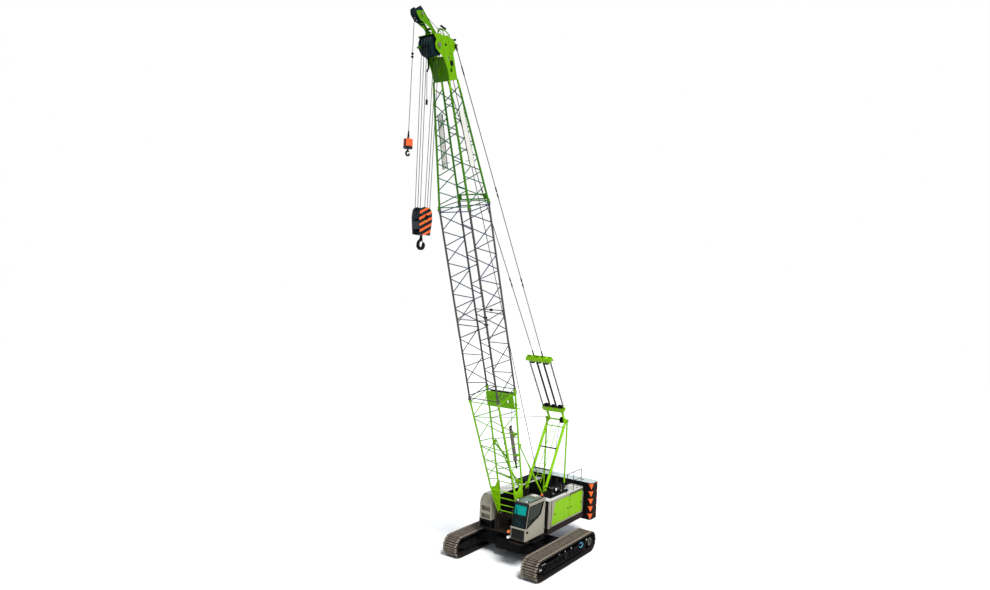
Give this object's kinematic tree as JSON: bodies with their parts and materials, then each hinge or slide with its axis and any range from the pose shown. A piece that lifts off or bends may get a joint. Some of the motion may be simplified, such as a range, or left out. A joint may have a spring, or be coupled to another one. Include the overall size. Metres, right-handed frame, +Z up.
{
  "type": "lattice boom crawler crane",
  "caption": "Crawler crane with a lattice boom, gantry, stacked counterweight, side cab, main hook block and a second ball hook.",
  "frame": {"origin": "on the ground, on the slewing axis, midway between the two tracks", "axes": "+X forward the way the boom points, +Y to the crane's left, +Z up"},
  "size_m": [14.8514, 5.38, 24.1495],
  "materials": {
    "undercarriage_paint": "matt, dusty",
    "track_steel": "worn, rusty brown",
    "roller_steel": "greasy",
    "machined_steel": "machined",
    "deck_paint": "satin dark brown",
    "house_paint": "semi-gloss",
    "green_paint": "semi-gloss",
    "lattice_paint": "satin",
    "black_paint": "satin",
    "weight_paint": "matt",
    "cab_glazing": "tinted",
    "seat_cloth": "woven",
    "wire_rope": "greased wire",
    "engine_iron": "cast"
  },
  "bodies": {
    "undercarriage": {"car_body": "undercarriage_paint", "cross_beams": "undercarriage_paint", "side_frame_left": "undercarriage_paint", "side_frame_right": "undercarriage_paint", "track_left": "track_steel", "track_right": "track_steel", "track_rollers": "roller_steel", "idler_wheels": "roller_steel", "drive_wheels": "roller_steel", "slew_ring_fixed": "machined_steel"},
    "upperworks": {"deck_frame": "deck_paint", "hinge_pins": "machined_steel", "house_left": "house_paint", "house_right": "house_paint", "engine_block": "engine_iron", "counterweight": "weight_paint", "roof_fittings": "black_paint", "cab_shell": "house_paint", "cab_glass": "cab_glazing", "cab_seat": "seat_cloth", "gantry_front_legs": "green_paint", "gantry_rear_legs": "green_paint", "winch_frames": "black_paint"},
    "left_front_door": {"door_left_front": "green_paint"},
    "left_rear_door": {"door_left_rear": "green_paint"},
    "right_front_door": {"door_right_front": "green_paint"},
    "right_rear_door": {"door_right_rear": "green_paint"},
    "cab_side_door": {"cab_door": "house_paint", "cab_door_glass": "cab_glazing"},
    "main_drum": {"drum_main": "machined_steel"},
    "second_drum": {"drum_second": "machined_steel"},
    "luffing_drum": {"drum_luffing": "machined_steel"},
    "boom": {"boom_base": "green_paint", "boom_insert": "lattice_paint", "boom_top": "green_paint", "boom_sheaves": "black_paint", "tip_frame": "green_paint"},
    "stop_tubes": {"backstop_tubes": "green_paint"},
    "stop_rods": {"backstop_rods": "machined_steel"},
    "stay_lower": {"lower_spreader": "green_paint", "luffing_ropes": "wire_rope"},
    "stay_upper": {"upper_spreader": "green_paint", "pendants": "wire_rope"},
    "hoist": {"hook_ropes": "wire_rope", "hook_block": "black_paint"},
    "main_swivel": {"main_hook": "black_paint"},
    "second_line": {"ball_rope": "wire_rope", "ball_hook": "black_paint"}
  },
  "joints": [
    {"name": "slew", "type": "hinge", "parent": "undercarriage", "child": "upperworks", "pos_m": [0, 0, 1.31], "axis": [0, 0, 1], "continuous": true},
    {"name": "boom_luff", "type": "hinge", "parent": "upperworks", "child": "boom", "pos_m": [1.184, 0, 2.187], "axis": [0, -1, 0], "range_deg": [-40.8, 9.2]},
    {"name": "stay_angle", "type": "hinge", "parent": "upperworks", "child": "stay_lower", "pos_m": [-3.15, 0, 6.42], "axis": [0, -1, 0], "range_deg": [-41, 11]},
    {"name": "stay_length", "type": "slide", "parent": "stay_lower", "child": "stay_upper", "axis": [0.5556, 0, 0.8314], "range_m": [-1.1, 4.4]},
    {"name": "stop_angle", "type": "hinge", "parent": "upperworks", "child": "stop_tubes", "pos_m": [-0.735, 0, 2.96], "axis": [0, -1, 0], "range_deg": [-34, 9]},
    {"name": "stop_length", "type": "slide", "parent": "stop_tubes", "child": "stop_rods", "axis": [0.6551, 0, 0.7555], "range_m": [-0.4, 1.4]},
    {"name": "hoist_swing", "type": "hinge", "parent": "boom", "child": "hoist", "pos_m": [9.06951, 0, 22.88502], "axis": [0, -1, 0], "range_deg": [-10, 42]},
    {"name": "main_hook_turn", "type": "hinge", "parent": "hoist", "child": "main_swivel", "pos_m": [9.06951, 0, 15.21502], "axis": [0, 0, 1], "continuous": true},
    {"name": "second_swing", "type": "hinge", "parent": "boom", "child": "second_line", "pos_m": [9.88912, 0, 23.87028], "axis": [0, -1, 0], "range_deg": [-10, 42]},
    {"name": "left_front_door_hinge", "type": "hinge", "parent": "upperworks", "child": "left_front_door", "pos_m": [-1.926, 1.64, 2.265], "axis": [0, 0, 1], "range_deg": [0, 90]},
    {"name": "left_rear_door_hinge", "type": "hinge", "parent": "upperworks", "child": "left_rear_door", "pos_m": [-3.376, 1.64, 2.265], "axis": [0, 0, 1], "range_deg": [0, 90]},
    {"name": "right_front_door_hinge", "type": "hinge", "parent": "upperworks", "child": "right_front_door", "pos_m": [-1.926, -1.64, 2.265], "axis": [0, 0, -1], "range_deg": [0, 90]},
    {"name": "right_rear_door_hinge", "type": "hinge", "parent": "upperworks", "child": "right_rear_door", "pos_m": [-3.376, -1.64, 2.265], "axis": [0, 0, -1], "range_deg": [0, 90]},
    {"name": "cab_door_hinge", "type": "hinge", "parent": "upperworks", "child": "cab_side_door", "pos_m": [0.664, 1.63, 2.4], "axis": [0, 0, 1], "range_deg": [0, 90]},
    {"name": "main_drum_spin", "type": "hinge", "parent": "upperworks", "child": "main_drum", "pos_m": [0.35, 0, 1.87], "axis": [0, 1, 0], "continuous": true},
    {"name": "second_drum_spin", "type": "hinge", "parent": "upperworks", "child": "second_drum", "pos_m": [-0.42, 0, 1.87], "axis": [0, 1, 0], "continuous": true},
    {"name": "luffing_drum_spin", "type": "hinge", "parent": "upperworks", "child": "luffing_drum", "pos_m": [-2.35, 0, 1.87], "axis": [0, 1, 0], "continuous": true}
  ],
  "couplings": [
    {"joint": "stay_angle", "follows": "boom_luff", "ratio": 0.96},
    {"joint": "stay_length", "follows": "boom_luff", "m_per_rad": -5.86},
    {"joint": "stop_angle", "follows": "boom_luff", "ratio": 0.76},
    {"joint": "stop_length", "follows": "boom_luff", "m_per_rad": -1.76},
    {"joint": "hoist_swing", "follows": "boom_luff", "ratio": -1},
    {"joint": "second_swing", "follows": "boom_luff", "ratio": -1}
  ]
}
